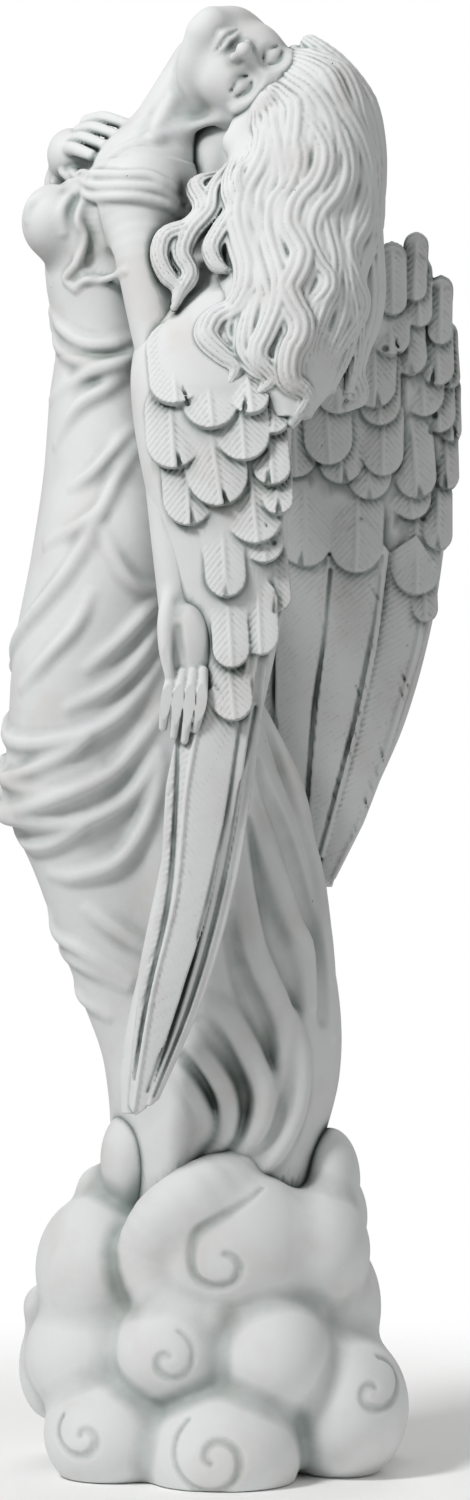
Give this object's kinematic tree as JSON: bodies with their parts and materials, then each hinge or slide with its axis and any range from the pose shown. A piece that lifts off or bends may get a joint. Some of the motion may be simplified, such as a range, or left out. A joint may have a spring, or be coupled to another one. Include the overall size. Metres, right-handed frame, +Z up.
{
  "type": "angel statue",
  "caption": "Cast garden statue of a robed, winged woman with her head thrown back and a hand on her shoulder, wings folded, rising from a bank of scrolled clouds.",
  "frame": {"origin": "middle of the flat underside of the cloud base", "axes": "+Z up the statue, -X the way the breast and knees face, -Y the side that the upturned face looks to"},
  "size_m": [0.3719, 0.3052, 1.1684],
  "materials": {
    "cast_stone": "matte cast stone, pale on the high places, with a grey-green wash left in the hollows"
  },
  "bodies": {
    "root": {"angel_statue": "cast_stone"}
  },
  "joints": []
}
